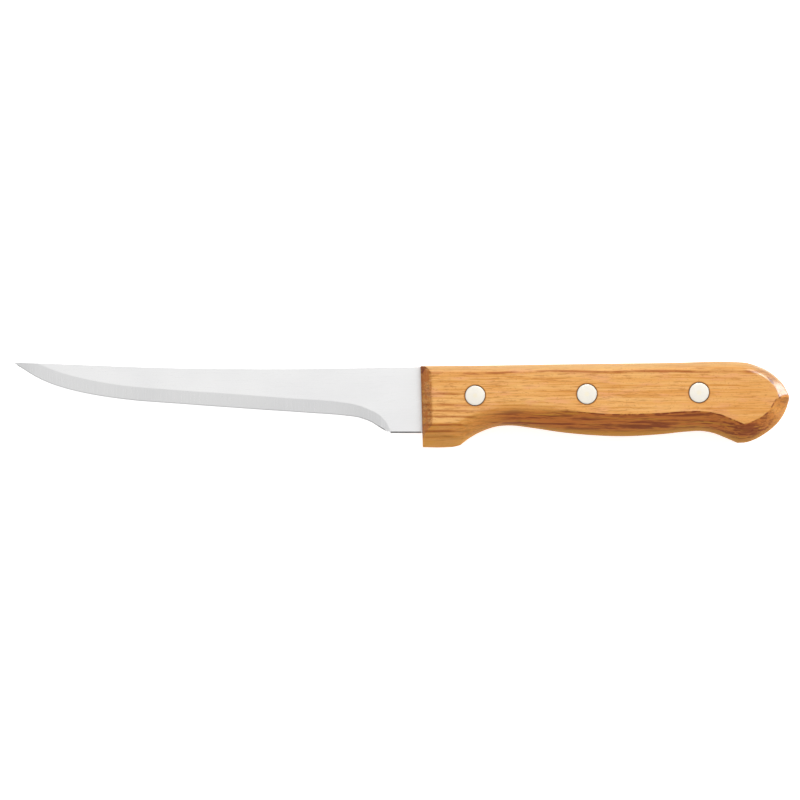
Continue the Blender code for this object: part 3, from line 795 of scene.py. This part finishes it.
def steel_material():
    """Stainless steel: flat sides ground lengthwise, bevels ground across, and rougher upright edges, darker
    partly as a duller finish and partly as painted shade.
    """
    n = Nodes("blade_steel")
    n.shader.inputs["Metallic"].default_value = 1.0
    upright = n.math("ABSOLUTE", n.facing()["Z"])
    along = n.noise((60, 9000, 9000), 3.0, 0.6)
    across = n.noise((9000, 160, 160), 3.0, 0.6)
    on_bevel = n.ramp(upright, 0.999, 0.99)
    grind = n.math("MULTIPLY_ADD", on_bevel, n.math("SUBTRACT", across, along), along)
    upright_edges = n.ramp(upright, 0.6, 0.3)
    tone = n.mix(n.ramp(n.noise((40, 60, 60)), 0.3, 0.7), DULL_STEEL, BRIGHT_STEEL)
    tone = n.mix(n.ramp(grind, 0.3, 0.8, 0.0, 0.12), tone, SCRATCHED_STEEL)
    # Painted shade, with a duller finish: the upright edges are darkened, which tones down the glowing
    # table's reflection in them.
    n.feed(n.shader.inputs["Base Color"], n.mix(upright_edges, tone, EDGE_STEEL_AND_SHADE))
    rough = n.ramp(grind, 0.3, 0.7, 0.27, 0.34)
    n.feed(n.shader.inputs["Roughness"], n.math("MULTIPLY_ADD", upright_edges, 0.15, rough))
    n.bump(grind, 0.05, 0.00001)
    return n.material


def rivet_material():
    """Aluminium, sanded flush with the wood along the handle, warmer in the middle and darker at its rim as
    painted shade.
    """
    n = Sketched("rivet_metal")
    n.shader.inputs["Metallic"].default_value = 1.0
    sanding = n.noise((250, 9000, 9000), 3.0, 0.6)
    off_axis = n.from_rivets()
    tone = n.mix(n.ramp(n.noise((500, 500, 500)), 0.35, 0.7), WARM_RIVET, COOL_RIVET)
    tone = n.tinted(tone, LACQUERED_RIVET, n.ramp(off_axis, 1.1, 0.3), 0.6)
    # Painted shade: the head darkens towards its rim, as part of the dark ring round it.
    tone = n.mix(n.ramp(off_axis, HEAD_RADIUS - 0.45, HEAD_RADIUS, 0.0, 0.5), tone, RIVET_RIM)
    tone = n.mix(n.ramp(sanding, 0.45, 0.8, 0.0, 0.3), tone, SANDED_RIVET)
    n.feed(n.shader.inputs["Base Color"], tone)
    n.feed(n.shader.inputs["Roughness"], n.ramp(sanding, 0.3, 0.7, 0.3, 0.42))
    n.bump(sanding, 0.2, 0.00002)
    return n.material


# ---------------------------------------------------------------------------------------- studio

TABLE_SIZE, TABLE_GAP, TABLE_GLOW = 5.0, 0.0002, 0.7
WALL_LIGHT = 0.8
ROOM_LIGHT = 0.12
WALL_TOP = (0.07, 0.2)  # between these heights of a unit line of sight, the wall fades into the room

# Soft lights: (name, direction, distance, width, depth, radiance, colour), in metres.
LIGHTS = [
    ("overhead", (0.0, 0.05, 1.0), 1.5, 1.9, 1.5, 0.42, (1, 1, 1)),
    ("ceiling", (0.0, 0.0, 1.0), 1.6, 3.6, 3.4, 0.44, (1, 1, 1)),
    ("key", (0.14, 0.56, 0.81), 1.3, 0.6, 0.6, 6.1, (1.0, 0.985, 0.96)),
    ("glint", (0.80, 0.31, 0.50), 1.3, 0.45, 1.1, 5.2, (1, 1, 1)),
]


def build_floor():
    """A pale table, slightly lit from within, so that shadows on it stay light."""
    bm = bmesh.new()
    bmesh.ops.create_grid(bm, x_segments=8, y_segments=8, size=TABLE_SIZE)
    mesh = bpy.data.meshes.new("table")
    bm.to_mesh(mesh)
    bm.free()
    n = Nodes("table")
    grain = n.noise((40, 40, 40), 4.0)
    n.feed(n.shader.inputs["Base Color"], n.mix(grain, (0.86, 0.86, 0.86), (0.89, 0.89, 0.89)))
    n.shader.inputs["Roughness"].default_value = 0.8
    n.shader.inputs["Emission Color"].default_value = (1, 1, 1, 1)
    n.shader.inputs["Emission Strength"].default_value = TABLE_GLOW
    mesh.materials.append(n.material)
    table = bpy.data.objects.new("table", mesh)
    table.location.z = cad_low[2] - TABLE_GAP
    bpy.context.scene.collection.objects.link(table)


def area_light(name, direction, distance, width, depth, radiance, colour):
    """A rectangular soft light in this direction from the knife's middle, turned to face it."""
    light = bpy.data.lights.new(name, "AREA")
    light.shape = "RECTANGLE"
    light.size, light.size_y = width, depth
    light.energy = radiance * pi * width * depth
    light.color = colour
    made = bpy.data.objects.new(name, light)
    away = Vector(direction).normalized()
    made.location = Vector((0, 0, MID_Z * MM)) + away * distance
    made.rotation_euler = away.to_track_quat("Z", "Y").to_euler()
    made.visible_camera = False
    bpy.context.scene.collection.objects.link(made)


def build_world():
    """A dim room with a pale wall all round, up to a little above the table."""
    world = bpy.data.worlds.new("studio")
    world.use_nodes = True
    tree = world.node_tree
    background = tree.nodes["Background"]
    direction = tree.nodes.new("ShaderNodeTexCoord").outputs["Generated"]
    axes = tree.nodes.new("ShaderNodeSeparateXYZ")
    wall = tree.nodes.new("ShaderNodeMapRange")
    wall.interpolation_type = "SMOOTHSTEP"
    for socket, value in zip(list(wall.inputs)[1:5], (*WALL_TOP, WALL_LIGHT, ROOM_LIGHT)):
        socket.default_value = value
    tree.links.new(direction, axes.inputs[0])
    tree.links.new(axes.outputs["Z"], wall.inputs["Value"])
    tree.links.new(wall.outputs[0], background.inputs["Strength"])
    background.inputs["Color"].default_value = (1, 1, 1, 1)
    bpy.context.scene.world = world


def build_camera():
    """Straight above the knife with a long lens, as far as makes the view a quarter of a metre wide."""
    over_u, over_v = -6.82, 14.80
    view_width, lens, sensor = 0.2504, 400.0, 36.0
    camera = bpy.data.cameras.new("camera")
    camera.lens, camera.sensor_width = lens, sensor
    camera.clip_start, camera.clip_end = 0.01, 10
    made = bpy.data.objects.new("camera", camera)
    made.location = placed(over_u, over_v, view_width * lens / sensor / MM)
    bpy.context.scene.collection.objects.link(made)
    bpy.context.scene.camera = made


def main():
    build_blade(steel_material())
    build_scale("left_scale", 1, wood_material("left_wood", 1, LEFT_LINES, LEFT_STAINS_AND_SHADE))
    build_scale("right_scale", -1, wood_material("right_wood", 2, RIGHT_LINES, RIGHT_STAINS))
    metal = rivet_material()
    for name, centre in RIVETS.items():
        build_rivet(name, centre, metal)
    build_floor()
    build_world()
    for light in LIGHTS:
        area_light(*light)
    build_camera()
    bpy.context.scene.view_settings.view_transform = "Standard"


main()
